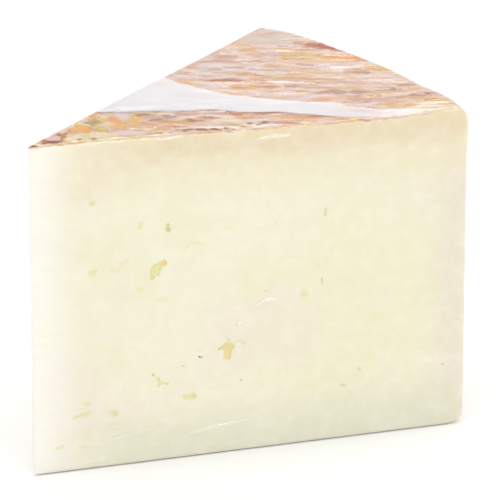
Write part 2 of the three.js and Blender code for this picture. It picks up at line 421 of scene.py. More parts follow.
# ---------------------------------------------------------------- eyes in the cut faces
# Each eye: capsules (s0, z0, s1, z1, radius) in mm along the face and up it, depth in mm, how green-yellow, how orange, how dark.
FRONT_EYES = [
    ([(28.5, 46.2, 28.7, 48.3, 0.66), (28.9, 48.5, 31.2, 49.5, 0.80), (29.3, 47.2, 30.1, 48.9, 0.95)], 1.1, 1.0, 0.0, 0.0),
    ([(31.2, 49.1, 31.6, 49.3, 0.55)], 0.3, 0.5, 0.8, 0.0),
    ([(46.2, 26.7, 47.0, 26.5, 1.12), (46.6, 26.0, 46.4, 24.3, 0.95), (45.6, 27.0, 44.3, 26.4, 0.30)], 1.1, 1.0, 0.35, 0.0),
    ([(46.65, 28.45, 46.7, 28.4, 0.28)], 0.4, 0.5, 1.0, 0.1),
    ([(48.3, 27.6, 49.4, 28.0, 0.26), (49.4, 28.0, 50.4, 26.9, 0.3)], 0.35, 0.45, 0.0, 0.0),
    ([(32.2, 58.8, 32.4, 57.9, 0.36), (32.2, 57.7, 32.5, 57.5, 0.55)], 0.9, 1.0, 0.1, 0.12),
    ([(14.2, 65.9, 14.4, 66.0, 0.72)], 0.6, 0.75, 0.0, 0.0),
    ([(13.6, 69.5, 13.9, 67.4, 0.35)], 0.12, 0.28, 0.0, 0.0),
    ([(14.0, 48.9, 14.6, 49.2, 0.85)], 0.6, 0.6, 0.0, 0.0),
    ([(25.5, 58.8, 26.0, 59.8, 0.5)], 0.4, 0.55, 0.0, 0.0),
    ([(29.6, 20.7, 30.2, 19.4, 0.42), (30.2, 19.6, 31.9, 19.3, 0.34), (29.5, 18.9, 30.2, 19.5, 0.3)], 0.6, 0.8, 0.0, 0.0),
    ([(36.2, 15.3, 38.3, 15.3, 0.78)], 0.7, 0.9, 0.0, 0.0),
    ([(38.2, 15.3, 38.4, 15.3, 0.35)], 0.25, 0.5, 0.0, 0.05),
    ([(12.3, 16.6, 12.5, 16.6, 0.72)], 0.5, 0.6, 0.0, 0.0),
    ([(9.4, 13.4, 12.9, 14.4, 0.36), (11.2, 13.8, 12.4, 14.0, 0.62)], 0.5, 0.65, 0.0, 0.0),
    ([(18.8, 13.2, 19.0, 13.3, 0.92)], 0.7, 0.85, 0.0, 0.0),
    ([(5.3, 6.2, 6.5, 6.5, 0.48)], 0.45, 0.6, 0.0, 0.0),
    ([(70.0, 57.0, 70.1, 58.2, 0.42)], 0.6, 0.75, 0.0, 0.0),
    ([(64.8, 37.8, 65.1, 37.8, 0.8)], 0.6, 0.62, 0.0, 0.0),
    ([(23.3, 69.2, 23.7, 69.3, 0.75)], 0.12, 0.30, 0.0, 0.0),
    ([(9.8, 68.1, 9.9, 68.0, 0.7)], 0.1, 0.2, 0.0, 0.0),
    ([(18.7, 49.4, 20.0, 48.6, 0.45), (20.0, 48.6, 21.4, 50.2, 0.6), (21.4, 50.3, 22.4, 51.1, 0.6)], 0.15, 0.34, 0.0, 0.0),
    ([(36.2, 52.4, 37.6, 53.8, 0.3), (37.6, 53.8, 39.9, 53.2, 0.35)], 0.15, 0.4, 0.0, 0.0),
    ([(37.8, 49.2, 38.2, 49.5, 0.6)], 0.12, 0.28, 0.0, 0.0),
    ([(25.1, 43.6, 25.8, 43.6, 0.55)], 0.3, 0.45, 0.0, 0.0),
    ([(29.8, 40.3, 31.4, 40.6, 0.7)], 0.15, 0.36, 0.0, 0.0),
    ([(45.3, 69.8, 45.6, 69.9, 0.55)], 0.12, 0.3, 0.0, 0.0),
    ([(59.1, 68.7, 59.6, 68.8, 0.6)], 0.12, 0.3, 0.0, 0.0),
    ([(46.2, 56.3, 47.3, 56.4, 0.45)], 0.12, 0.3, 0.0, 0.0),
    ([(71.3, 55.0, 71.6, 55.0, 0.55)], 0.12, 0.35, 0.0, 0.0),
    ([(59.1, 47.2, 64.2, 47.2, 0.18), (59.1, 47.2, 59.0, 45.9, 0.18)], 0.1, 0.3, 0.0, 0.0),
    ([(68.0, 44.4, 68.4, 44.4, 0.45)], 0.1, 0.3, 0.0, 0.0),
    ([(17.4, 10.4, 18.9, 10.7, 0.32)], 0.15, 0.35, 0.0, 0.0),
    ([(11.8, 9.7, 13.2, 9.9, 0.32)], 0.12, 0.3, 0.0, 0.0),
    ([(10.2, 5.8, 11.8, 6.0, 0.34)], 0.15, 0.35, 0.0, 0.0),
    ([(39.5, 26.7, 40.4, 26.8, 0.5)], 0.12, 0.34, 0.0, 0.0),
    ([(82.0, 30.0, 82.5, 30.2, 0.5)], 0.12, 0.25, 0.0, 0.0),
    ([(88.5, 49.2, 88.8, 49.6, 0.45)], 0.1, 0.22, 0.0, 0.0),
    ([(55.6, 60.8, 56.0, 60.9, 0.5)], 0.1, 0.22, 0.0, 0.0),
    ([(39.6, 25.1, 39.8, 24.9, 0.18)], 0.35, 0.1, 0.0, 1.0),
    ([(28.5, 21.8, 28.55, 21.75, 0.16)], 0.25, 0.1, 0.0, 0.6),
    ([(35.7, 23.2, 35.75, 23.2, 0.16)], 0.25, 0.1, 0.0, 0.45),
    ([(49.7, 17.9, 49.75, 17.9, 0.24)], 0.35, 0.9, 0.0, 0.25),
    ([(99.2, 15.8, 99.25, 15.8, 0.22)], 0.25, 0.1, 0.0, 0.5),
    ([(74.2, 13.5, 75.0, 13.4, 0.12)], 0.15, 0.1, 0.0, 0.4),
    ([(78.4, 17.1, 78.45, 17.1, 0.14)], 0.15, 0.1, 0.0, 0.35),
    ([(69.2, 41.2, 69.4, 39.9, 0.16)], 0.15, 0.2, 0.0, 0.35),
    ([(55.5, 39.6, 55.55, 39.6, 0.16)], 0.15, 0.4, 0.0, 0.2),
    ([(57.9, 56.3, 57.95, 56.3, 0.15)], 0.15, 0.4, 0.0, 0.15),
]


def scattered_eyes(seed, count):
    """Eyes for the cut face that turns away: the same sizes and clustering, in places of their own."""
    rng = np.random.RandomState(seed)
    eyes = []
    while len(eyes) < count:
        s, z = rng.uniform(5, CUT - 6), 5 + 68 * rng.beta(1.3, 1.3)
        if rng.rand() > 0.25 + 0.75 * math.exp(-((s - 36) / 30) ** 2):
            continue
        big = rng.rand()
        r = 0.3 + 0.75 * rng.rand() ** 1.6 if big < 0.9 else rng.uniform(0.8, 1.05)
        a, ln = rng.uniform(-0.6, 0.6), r * rng.uniform(0.1, 2.2)
        caps = [(s, z, s + ln * math.cos(a), z + ln * math.sin(a), r)]
        if big >= 0.82:
            caps.append((s, z, s - r * rng.uniform(0.8, 2), z - r * rng.uniform(0.8, 2.4), r * rng.uniform(0.45, 0.8)))
        clear = 1.0 if rng.rand() < 0.55 else 0.35
        eyes.append((caps, clear * (0.45 + 0.6 * r), clear * rng.uniform(0.55, 0.95), 0.6 if big > 0.93 else 0.0, 0.0))
    for _ in range(9):
        s, z = rng.uniform(5, CUT - 6), rng.uniform(4, 70)
        eyes.append(([(s, z, s + 0.05, z, 0.17)], 0.3, 0.1, 0.0, rng.uniform(0.3, 0.9)))
    return eyes


EYES = [FRONT_EYES, scattered_eyes(11, 44)]
EYE_SHIFT = np.array([0.33, 0.65])     # the eyes' heights are from the surface the wedge stands on, and their distances from the film's tip


def eye_fields(pts, eyes):
    """Depth and colour strengths at plan points of a cut face, and how near an eye each lies."""
    depth = np.zeros(len(pts))
    green, orange, dark = depth.copy(), depth.copy(), depth.copy()
    near = np.full(len(pts), 9.0)
    p3 = np.c_[pts, np.zeros(len(pts))]
    ragged = 0.20 * vnoise(p3 / 0.55, 5) + 0.12 * vnoise(p3 / 0.25, 6)
    for caps, d, g, o, k in eyes:
        f = np.full(len(pts), 9.0)
        for s0, z0, s1, z1, r in caps:
            a, b = np.array([s0, z0]), np.array([s1, z1])
            ab = b - a
            t = np.clip(((pts - a) @ ab) / max(ab @ ab, 1e-9), 0, 1)
            q = pts - (a + t[:, None] * ab)
            f = np.minimum(f, np.hypot(q[:, 0], q[:, 1]) / r)
        near = np.minimum(near, f)
        f = f + ragged * np.clip(caps[0][4] / 0.5, 0.2, 1)
        m = 1 - smooth(0.45, 1.08, f)
        c = 1 - smooth(0.55, 1.35, f)
        depth = np.maximum(depth, d * m)
        green = np.maximum(green, g * c)
        orange = np.maximum(orange, o * c)
        dark = np.maximum(dark, k * (1 - smooth(0.8, 1.5, f)))
    return depth, green, orange, dark, near


def cheese_cut_points(side):
    pts = [jitter_grid(-1.5, CUT + 1, -0.5, 82, 0.95, 31 + side)]
    _, _, _, _, near = eye_fields(pts[0] + EYE_SHIFT, EYES[side])
    pts[0] = pts[0][near > 1.7]
    for caps, *_ in EYES[side]:
        r = min(c[4] for c in caps)
        h = min(max(r / 3.2, 0.10), 0.24)
        s0 = min(min(c[0], c[2]) - c[4] * 1.6 for c in caps)
        s1 = max(max(c[0], c[2]) + c[4] * 1.6 for c in caps)
        z0 = min(min(c[1], c[3]) - c[4] * 1.6 for c in caps)
        z1 = max(max(c[1], c[3]) + c[4] * 1.6 for c in caps)
        g = jitter_grid(s0, s1, z0, z1, h, 7, 0.1)
        if len(g) == 0:
            continue
        _, _, _, _, near = eye_fields(g, [(caps, 0, 0, 0, 0)])
        g = g[near < 1.55] - EYE_SHIFT
        pts.append(g)
    # drop points that crowd one another where eyes overlap
    allp = np.concatenate(pts)
    key = np.round(allp / 0.09).astype(np.int64)
    _, first = np.unique(key[:, 0] * 100000 + key[:, 1], return_index=True)
    allp = allp[np.sort(first)]
    return inside_face(allp, 0.40)


# ---------------------------------------------------------------- mesh helpers
def mesh_from(name, pos_mm, faces, attrs, materials, face_mats=None):
    me = bpy.data.meshes.new(name)
    co = (pos_mm + TIP) * 0.001
    me.vertices.add(len(co))
    me.vertices.foreach_set("co", co.astype(np.float32).ravel())
    f = np.array(faces, np.int32)
    me.loops.add(len(f) * 3)
    me.loops.foreach_set("vertex_index", f.ravel())
    me.polygons.add(len(f))
    me.polygons.foreach_set("loop_start", np.arange(len(f), dtype=np.int32) * 3)
    me.polygons.foreach_set("loop_total", np.full(len(f), 3, np.int32))
    me.polygons.foreach_set("use_smooth", np.ones(len(f), bool))
    for m in materials:
        me.materials.append(m)
    if face_mats is not None:
        me.polygons.foreach_set("material_index", np.array(face_mats, np.int32))
    me.update(calc_edges=True)
    me.validate()
    for key, val in attrs.items():
        if val.ndim == 1:
            a = me.attributes.new(key, "FLOAT", "POINT")
            a.data.foreach_set("value", val.astype(np.float32))
        else:
            a = me.attributes.new(key, "FLOAT_COLOR", "POINT")
            a.data.foreach_set("color", np.c_[val, np.ones(len(val))].astype(np.float32).ravel())
    ob = bpy.data.objects.new(name, me)
    scene.collection.objects.link(ob)
    return ob


# ---------------------------------------------------------------- node helpers
class Nodes:
    def __init__(self, name):
        self.mat = bpy.data.materials.new(name)
        self.mat.use_nodes = True
        self.nt = self.mat.node_tree
        self.nt.nodes.clear()
        self.out = self.nt.nodes.new("ShaderNodeOutputMaterial")

    def n(self, kind, **values):
        node = self.nt.nodes.new(kind)
        for k, v in values.items():
            if hasattr(node, k) and k not in node.inputs:
                setattr(node, k, v)
        return node

    def link(self, a, b):
        self.nt.links.new(a, b)

    def coords(self):
        return self.n("ShaderNodeTexCoord").outputs["Object"]

    def mapped(self, vec, scale, rot=(0, 0, 0), loc=(0, 0, 0)):
        m = self.n("ShaderNodeMapping")
        m.inputs["Scale"].default_value = scale
        m.inputs["Rotation"].default_value = rot
        m.inputs["Location"].default_value = loc
        self.link(vec, m.inputs["Vector"])
        return m.outputs[0]

    def noise(self, vec, scale, detail=4.0, rough=0.55, distortion=0.0):
        t = self.n("ShaderNodeTexNoise")
        t.inputs["Scale"].default_value = scale
        t.inputs["Detail"].default_value = detail
        t.inputs["Roughness"].default_value = rough
        t.inputs["Distortion"].default_value = distortion
        self.link(vec, t.inputs["Vector"])
        return t.outputs[0]

    def layer_lines(self, vec):
        """Thin drawn-out lines: 1 on a line, 0 off it."""
        t = self.noise(vec, 300.0, 2.0, 0.5)
        off = self.math("ABSOLUTE", self.math("SUBTRACT", t, 0.5))
        return self.ramp(off, 0.012, 0.0)

    def warp(self, vec, scale, amount):
        t = self.n("ShaderNodeTexNoise")
        t.inputs["Scale"].default_value = scale
        t.inputs["Detail"].default_value = 2.0
        self.link(vec, t.inputs["Vector"])
        sub, mul, add = (self.n("ShaderNodeVectorMath") for _ in range(3))
        sub.operation, mul.operation, add.operation = "SUBTRACT", "SCALE", "ADD"
        self.link(t.outputs["Color"], sub.inputs[0])
        sub.inputs[1].default_value = (0.5, 0.5, 0.5)
        self.link(sub.outputs[0], mul.inputs[0])
        mul.inputs["Scale"].default_value = amount
        self.link(vec, add.inputs[0])
        self.link(mul.outputs[0], add.inputs[1])
        return add.outputs[0]

    def cells(self, vec, scale, feature="F1"):
        v = self.n("ShaderNodeTexVoronoi")
        v.feature = feature
        v.inputs["Scale"].default_value = scale
        self.link(vec, v.inputs["Vector"])
        if feature == "DISTANCE_TO_EDGE":
            return v.outputs["Distance"]
        sep = self.n("ShaderNodeSeparateColor")
        self.link(v.outputs["Color"], sep.inputs[0])
        return sep.outputs[0]

    def steps(self, fac, stops):
        r = self.n("ShaderNodeValToRGB")
        r.color_ramp.interpolation = "CONSTANT"
        e = r.color_ramp.elements
        while len(e) < len(stops):
            e.new(0.5)
        for k, (at, c) in enumerate(stops):
            e[k].position = at
            e[k].color = (*c, 1.0)
        self.link(fac, r.inputs[0])
        return r.outputs[0]

    def ramp(self, fac, lo, hi, a=0.0, b=1.0):
        m = self.n("ShaderNodeMapRange")
        m.interpolation_type = "SMOOTHSTEP"
        m.inputs["From Min"].default_value = lo
        m.inputs["From Max"].default_value = hi
        m.inputs["To Min"].default_value = a
        m.inputs["To Max"].default_value = b
        self.link(fac, m.inputs["Value"])
        return m.outputs[0]

    def attr(self, name, colour=False):
        a = self.n("ShaderNodeAttribute")
        a.attribute_name = name
        return a.outputs["Color" if colour else "Fac"]

    def math(self, op, a, b=None, clamp=False):
        m = self.n("ShaderNodeMath")
        m.operation = op
        m.use_clamp = clamp
        for i, v in enumerate((a, b)):
            if v is None:
                continue
            if isinstance(v, (int, float)):
                m.inputs[i].default_value = v
            else:
                self.link(v, m.inputs[i])
        return m.outputs[0]

    def mix(self, fac, a, b, blend="MIX"):
        m = self.n("ShaderNodeMix")
        m.data_type = "RGBA"
        m.blend_type = blend
        m.clamp_result = False
        for socket, v in ((m.inputs[0], fac), (m.inputs[6], a), (m.inputs[7], b)):
            if isinstance(v, (int, float)):
                socket.default_value = v
            elif isinstance(v, tuple):
                socket.default_value = (*v, 1.0)
            else:
                self.link(v, socket)
        return m.outputs[2]


def lin(r, g, b):
    """Linear colour from 0-255 sRGB."""
    out = []
    for c in (r, g, b):
        c /= 255.0
        out.append(c / 12.92 if c <= 0.04045 else ((c + 0.055) / 1.055) ** 2.4)
    return tuple(out)


def deep(r, g, b):
    """A colour as it should look through the film, made fuller to allow for the film's haze."""
    return tuple(float(v) for v in np.clip((np.array(lin(r, g, b)) - 0.070) / 0.87, 0.012, 0.95))


# ---------------------------------------------------------------- materials
def paste_material():
    k = Nodes("paste")
    co = k.coords()
    fine = k.noise(co, 260.0, 4.0, 0.6)
    knife = k.noise(k.mapped(co, (60.0, 60.0, 900.0)), 1.0, 2.0, 0.5)
    edge = k.attr("edge")              # mm from the rind
    tone = k.attr("tone", True)
    colour = k.mix(k.ramp(fine, 0.40, 0.75, 0.0, 0.30), tone, lin(250, 246, 232))
    colour = k.mix(k.ramp(knife, 0.5, 0.75, 0.0, 0.12), colour, lin(226, 220, 178))
    # the rind's own thin line where the knife went through it
    wob = k.noise(co, 700.0, 3.0, 0.6)
    line_w = k.math("ADD", k.math("MULTIPLY", wob, 1.1), -0.22)
    soft_line = k.ramp(k.math("SUBTRACT", line_w, edge), -0.16, 0.16)
    tint = k.mix(k.ramp(k.noise(co, 420.0, 2.0, 0.5), 0.42, 0.62), lin(212, 166, 100), lin(158, 104, 70))
    colour = k.mix(k.math("MULTIPLY", k.math("MULTIPLY", soft_line, k.attr("edge_top")), 0.75), colour, tint)
    # the eyes' yellow-green: partly their own colour, partly painted shade in their hollows
    colour = k.mix(k.math("MULTIPLY", k.attr("green"), 0.62), colour, lin(224, 217, 118))
    colour = k.mix(k.math("MULTIPLY", k.attr("orange"), 0.42), colour, lin(244, 196, 112))
    colour = k.mix(k.math("MULTIPLY", k.attr("dark"), 0.8), colour, lin(104, 96, 72))
    b = k.n("ShaderNodeBsdfPrincipled")
    k.link(colour, b.inputs["Base Color"])
    k.link(k.ramp(fine, 0.3, 0.7, 0.42, 0.58), b.inputs["Roughness"])
    b.inputs["Subsurface Weight"].default_value = 0.35
    b.inputs["Subsurface Radius"].default_value = (1.0, 0.8, 0.5)
    b.inputs["Subsurface Scale"].default_value = 0.0030
    bump = k.n("ShaderNodeBump")
    bump.inputs["Strength"].default_value = 0.3
    bump.inputs["Distance"].default_value = 0.0004
    k.link(k.math("ADD", k.math("MULTIPLY", fine, 0.7), k.math("MULTIPLY", knife, 0.5)), bump.inputs["Height"])
    k.link(bump.outputs[0], b.inputs["Normal"])
    k.link(b.outputs[0], k.out.inputs["Surface"])
    return k.mat


def rind_material():
    k = Nodes("rind")
    co = k.coords()
    tone = k.attr("tone", True)
    lies = k.attr("lies")              # 1 on the top, 0 on the rim and underside
    scraped_and_sheen = k.attr("scraped_and_sheen")                # 1 where the rind is scraped to the paste, and where pale sheen is painted on the rim's shoulder by the front cut
    drawn = k.n("ShaderNodeMapping")
    drawn.vector_type = "TEXTURE"
    drawn.inputs["Rotation"].default_value = (0, 0, math.atan2(U_DIR[1], U_DIR[0]))
    drawn.inputs["Scale"].default_value = (3.2, 1, 1)
    k.link(co, drawn.inputs["Vector"])
    drawn = drawn.outputs[0]
    grain = k.noise(co, 1500.0, 4.0, 0.6)

    def layer(vec, scale, seed):
        moved = k.mapped(vec, (1, 1, 1), loc=(0.37 * seed, 0.19 * seed, 0.11 * seed))
        return k.noise(moved, scale, 3.0, 0.55, 0.3)

    def pulled(stretch):
        m = k.n("ShaderNodeMapping")
        m.vector_type = "TEXTURE"
        m.inputs["Rotation"].default_value = (0, 0, math.atan2(U_DIR[1], U_DIR[0]))
        m.inputs["Scale"].default_value = (stretch, 1, 1)
        k.link(co, m.inputs["Vector"])
        return m.outputs[0]

    tip_at = k.warp(k.warp(pulled(1.05), 240.0, 0.0030), 1100.0, 0.0009)
    lens_at = k.warp(k.warp(pulled(2.3), 240.0, 0.0036), 1100.0, 0.0008)
    tip_cells = k.steps(k.cells(tip_at, 430.0), [
        (0.0, deep(224, 194, 98)), (0.26, deep(238, 166, 84)), (0.42, deep(226, 204, 200)), (0.64, deep(238, 218, 190)),
        (0.78, deep(208, 170, 140)), (0.90, deep(164, 122, 92))])
    lens = k.steps(k.cells(lens_at, 380.0), [
        (0.0, deep(236, 213, 202)), (0.30, deep(224, 198, 190)), (0.46, deep(228, 188, 104)), (0.60, deep(242, 224, 210)),
        (0.74, deep(236, 172, 100)), (0.84, deep(210, 172, 162)), (0.92, deep(176, 112, 82))])
    thin_at = k.warp(k.warp(pulled(4.2), 300.0, 0.0022), 1300.0, 0.0005)
    thin = k.steps(k.cells(thin_at, 720.0), [
        (0.0, deep(240, 222, 214)), (0.30, deep(214, 180, 170)), (0.48, deep(228, 196, 140)), (0.62, deep(246, 232, 224)),
        (0.80, deep(226, 172, 118)), (0.90, deep(168, 114, 92))])
    rim_line = k.ramp(k.cells(tip_at, 430.0, "DISTANCE_TO_EDGE"), 0.09, 0.0)
    a = k.mix(lies, layer(co, 190.0, 1), layer(drawn, 330.0, 1))
    b_ = k.mix(lies, layer(co, 260.0, 2), layer(drawn, 420.0, 2))
    c = k.mix(lies, layer(co, 230.0, 3), layer(drawn, 380.0, 3))
    keep = k.math("SUBTRACT", 1.0, scraped_and_sheen)
    own = k.math("SUBTRACT", 1.0, k.attr("own"))
    loose = k.math("MULTIPLY", k.math("MULTIPLY", keep, lies), own)
    tipward = k.attr("tipward")
    lensward = k.math("SUBTRACT", 1.0, tipward)
    colour = k.mix(k.math("MULTIPLY", k.math("MULTIPLY", loose, tipward), 0.80), tone, tip_cells)
    colour = k.mix(k.math("MULTIPLY", k.math("MULTIPLY", loose, lensward), 0.60), colour, lens)
    colour = k.mix(k.math("MULTIPLY", k.math("MULTIPLY", loose, lensward), k.ramp(c, 0.42, 0.58, 0.12, 0.50)), colour, thin)
    colour = k.mix(k.math("MULTIPLY", k.math("MULTIPLY", keep, k.math("SUBTRACT", 1.0, lies)), k.math("MULTIPLY", k.attr("side"), 0.17)), colour, tip_cells)
    outline = k.math("MULTIPLY", k.math("MULTIPLY", rim_line, loose), k.math("MULTIPLY", tipward, k.ramp(a, 0.42, 0.56, 0.0, 0.5)))
    colour = k.mix(outline, colour, deep(150, 104, 78))
    mild = k.math("MULTIPLY", keep, k.math("ADD", 0.35, k.math("MULTIPLY", own, 0.65)))
    colour = k.mix(k.math("MULTIPLY", k.ramp(a, 0.56, 0.68, 0.0, 0.28), mild), colour, lin(216, 158, 78))
    colour = k.mix(k.math("MULTIPLY", k.ramp(c, 0.58, 0.72, 0.0, 0.22), mild), colour, lin(228, 208, 196))
    colour = k.mix(k.math("MULTIPLY", k.ramp(b_, 0.62, 0.74, 0.0, 0.36), mild), colour, lin(150, 86, 58))
    # painted shadow: thin dark reddish lines on the top rind stand in for the shade of the film's creases
    crease_shadow_lines = k.layer_lines(drawn)
    colour = k.mix(k.math("MULTIPLY", k.math("MULTIPLY", crease_shadow_lines, lies), 0.30), colour, lin(146, 82, 60))
    pores = k.ramp(k.noise(co, 2600.0, 1.0, 0.5), 0.70, 0.78, 0.0, 0.35)
    colour = k.mix(k.math("MULTIPLY", pores, keep), colour, lin(112, 72, 48))
    colour = k.mix(k.ramp(grain, 0.35, 0.7, 0.0, 0.12), colour, lin(120, 88, 62))
    b = k.n("ShaderNodeBsdfPrincipled")
    k.link(colour, b.inputs["Base Color"])
    k.link(k.ramp(grain, 0.3, 0.7, 0.6, 0.82), b.inputs["Roughness"])
    b.inputs["Subsurface Weight"].default_value = 0.12
    b.inputs["Subsurface Radius"].default_value = (1.0, 0.6, 0.35)
    b.inputs["Subsurface Scale"].default_value = 0.0015
    bump = k.n("ShaderNodeBump")
    bump.inputs["Strength"].default_value = 0.6
    bump.inputs["Distance"].default_value = 0.0005
    k.link(k.math("ADD", k.math("MULTIPLY", layer(co, 420.0, 5), 0.8), k.math("MULTIPLY", grain, 0.35)), bump.inputs["Height"])
    k.link(bump.outputs[0], b.inputs["Normal"])
    k.link(b.outputs[0], k.out.inputs["Surface"])
    return k.mat


def film_material():
    k = Nodes("cling_film")
    clear = k.n("ShaderNodeBsdfTransparent")
    clear.inputs["Color"].default_value = (0.985, 0.985, 0.985, 1)
    gloss = k.n("ShaderNodeBsdfGlossy")
    gloss.inputs["Color"].default_value = (1, 1, 1, 1)
    gloss.inputs["Roughness"].default_value = 0.10
    fres = k.n("ShaderNodeFresnel")
    fres.inputs["IOR"].default_value = 1.52
    geo = k.n("ShaderNodeNewGeometry")
    fac = k.math("MULTIPLY", k.math("MINIMUM", k.math("MULTIPLY", fres.outputs[0], 0.62), 0.12), k.math("SUBTRACT", 1.0, geo.outputs["Backfacing"]))
    m1 = k.n("ShaderNodeMixShader")
    k.link(fac, m1.inputs[0])
    k.link(clear.outputs[0], m1.inputs[1])
    k.link(gloss.outputs[0], m1.inputs[2])
    # the film's milky white, used for its own slight milkiness and for the painted glare, sheen and crease highlights
    milk = k.n("ShaderNodeBsdfDiffuse")
    milk.inputs["Color"].default_value = (0.925, 0.92, 0.945, 1)
    drawn = k.n("ShaderNodeMapping")
    drawn.vector_type = "TEXTURE"
    drawn.inputs["Rotation"].default_value = (0, 0, math.atan2(U_DIR[1], U_DIR[0]))
    drawn.inputs["Scale"].default_value = (6, 1, 1)
    k.link(k.coords(), drawn.inputs["Vector"])
    along = k.warp(drawn.outputs[0], 130.0, 0.0016)
    # painted highlights: thin pale lines along the film's wrinkles, where the crease mask is set
    line1 = k.ramp(k.math("ABSOLUTE", k.math("SUBTRACT", k.noise(along, 420.0, 2.0, 0.5), 0.5)), 0.022, 0.0)
    line2 = k.ramp(k.noise(along, 900.0, 2.0, 0.6), 0.56, 0.72)
    painted_crease_highlights = k.math("MULTIPLY", k.attr("crease"), k.math("ADD", k.math("MULTIPLY", line1, 0.30), k.math("MULTIPLY", line2, 0.08)))
    m2 = k.n("ShaderNodeMixShader")
    k.link(k.math("MAXIMUM", k.attr("milk_and_glare"), painted_crease_highlights), m2.inputs[0])
    k.link(m1.outputs[0], m2.inputs[1])
    k.link(milk.outputs[0], m2.inputs[2])
    k.link(m2.outputs[0], k.out.inputs["Surface"])
    return k.mat


# ---------------------------------------------------------------- the cheese
def swell(p):
    """The heel's top edge stands a little fuller than a plain round, most at the front corner."""
    radial = p[:, :2] - RC
    r = np.linalg.norm(radial, axis=1)
    ang = np.arctan2(radial[:, 1], radial[:, 0])
    lo, hi, _ = rim_span(0, 0)
    t = (ang - lo) / (hi - lo)
    amp = 0.22 + 1.15 * smooth(0.32, 0.08, t) + 0.50 * np.exp(-((t - 0.88) / 0.13) ** 2)
    dr, dz = r - (RIM_R - 1.6), p[:, 2] - (MID_H - 1.2)
    w = amp * np.exp(-((dr / np.where(dr < 0, 9.0 + 5.0 * smooth(0.5, 0.8, t), 5.0)) ** 2 + (dz / 6.0) ** 2)) * smooth(60, 80, r)
    out = p.copy()
    out[:, :2] += radial / r[:, None] * (0.55 * w)[:, None]
    out[:, 2] += 0.85 * w
    # and its back corner is blunter
    corner = AB * CUT
    inwards = (BISECT * CUT * 0.6 - corner) / np.linalg.norm(BISECT * CUT * 0.6 - corner)
    near = np.exp(-(np.linalg.norm(p[:, :2] - corner, axis=1) / 2.6) ** 2)
    out[:, :2] += inwards * (0.9 * near)[:, None]
    return out


def spot(xy, x, y, rx, ry=None, turn=0.0):
    ry = ry or rx
    d = xy - np.array([x, y])
    c, s = math.cos(turn), math.sin(turn)
    a, b = d[:, 0] * c + d[:, 1] * s, -d[:, 0] * s + d[:, 1] * c
    return np.exp(-((a / rx) ** 2 + (b / ry) ** 2))


def blend(col, other, m):
    return col * (1 - m[:, None]) + np.array(other) * m[:, None]


